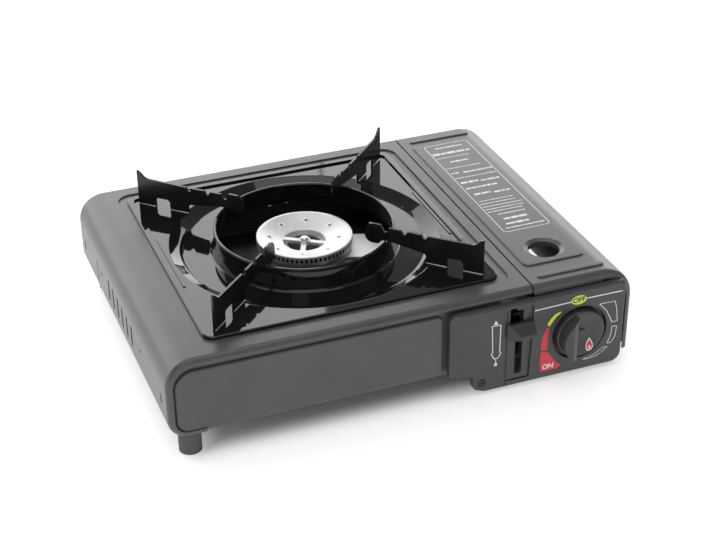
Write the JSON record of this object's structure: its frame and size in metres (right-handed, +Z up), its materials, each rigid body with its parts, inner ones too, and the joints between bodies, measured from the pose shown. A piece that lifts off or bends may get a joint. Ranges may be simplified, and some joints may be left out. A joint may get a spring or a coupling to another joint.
{
  "type": "butane cassette stove",
  "caption": "Low table stove with a gas burner, an enamelled drip tray with pan supports, and a hinged lid over a cartridge bay.",
  "frame": {"origin": "on the table, under the middle of the whole stove (centre of its footprint, knob and lever included)", "axes": "+X to the user's right (cartridge side), +Y to the rear, +Z up"},
  "size_m": [0.343, 0.273, 0.1048],
  "materials": {
    "body_paint": "satin charcoal powder coat",
    "lid_paint": "satin charcoal powder coat",
    "plated_sheet": "zinc plated sheet",
    "steel": "plain steel",
    "foot_rubber": "matt",
    "seal_rubber": "matt",
    "cast_aluminium": "as cast",
    "bright_aluminium": "fine satin",
    "zinc_casting": "as cast",
    "brass": "turned",
    "igniter_plastic": "matt",
    "wire_cover": "silicone cover",
    "ceramic": "glazed",
    "panel_plastic": "fine textured",
    "lever_plastic": "satin",
    "knob_plastic": "satin",
    "tray_enamel": "mirror gloss enamel",
    "support_enamel": "gloss enamel"
  },
  "bodies": {
    "stove_frame": {"body_shell": "body_paint", "front_panel": "body_paint", "rear_panel": "body_paint", "base_plate": "plated_sheet", "partition": "plated_sheet", "cartridge_tray": "plated_sheet", "control_bracket": "plated_sheet", "burner_bracket": "plated_sheet", "hinge_brackets": "plated_sheet", "carriage_guides": "plated_sheet", "electrode_clip": "plated_sheet", "neck_guide": "plated_sheet", "hinge_pins": "steel", "burner_screw": "steel", "panel_screw": "steel", "left_feet": "foot_rubber", "right_feet": "foot_rubber", "inlet_seal": "seal_rubber", "burner_base": "cast_aluminium", "burner_head": "bright_aluminium", "heat_plate": "bright_aluminium", "regulator_body": "zinc_casting", "regulator_cap": "zinc_casting", "mixing_tube": "steel", "injector": "brass", "gas_pipe": "brass", "inlet_nozzle": "brass", "igniter_box": "igniter_plastic", "igniter_wire": "wire_cover", "electrode": "ceramic", "control_panel": "panel_plastic"},
    "lid": {"lid": "lid_paint"},
    "lever": {"lever_handle": "lever_plastic", "cam_plate": "steel"},
    "carriage": {"carriage": "steel", "follower_pin": "steel"},
    "knob": {"control_knob": "knob_plastic", "valve_stem": "steel"},
    "tray": {"drip_tray": "tray_enamel", "pan_support_back_right": "support_enamel", "pan_support_back_left": "support_enamel", "pan_support_front_left": "support_enamel", "pan_support_front_right": "support_enamel"}
  },
  "joints": [
    {"name": "lid_hinge", "type": "hinge", "parent": "stove_frame", "child": "lid", "pos_m": [0.1635, 0.009, 0.013], "axis": [0, 1, 0], "range_deg": [0, 92]},
    {"name": "lever_slide", "type": "slide", "parent": "stove_frame", "child": "lever", "axis": [0, 0, -1], "range_m": [0, 0.02]},
    {"name": "carriage_slide", "type": "slide", "parent": "stove_frame", "child": "carriage", "axis": [0, -1, 0], "range_m": [0, 0.009]},
    {"name": "knob_turn", "type": "hinge", "parent": "stove_frame", "child": "knob", "pos_m": [0.1277, -0.124, 0.0355], "axis": [0, -1, 0], "range_deg": [0, 140]},
    {"name": "tray_lift", "type": "slide", "parent": "stove_frame", "child": "tray", "axis": [0, 0, 1], "range_m": [0, 0.08]}
  ],
  "couplings": [
    {"joint": "carriage_slide", "follows": "lever_slide", "ratio": 0.45}
  ]
}
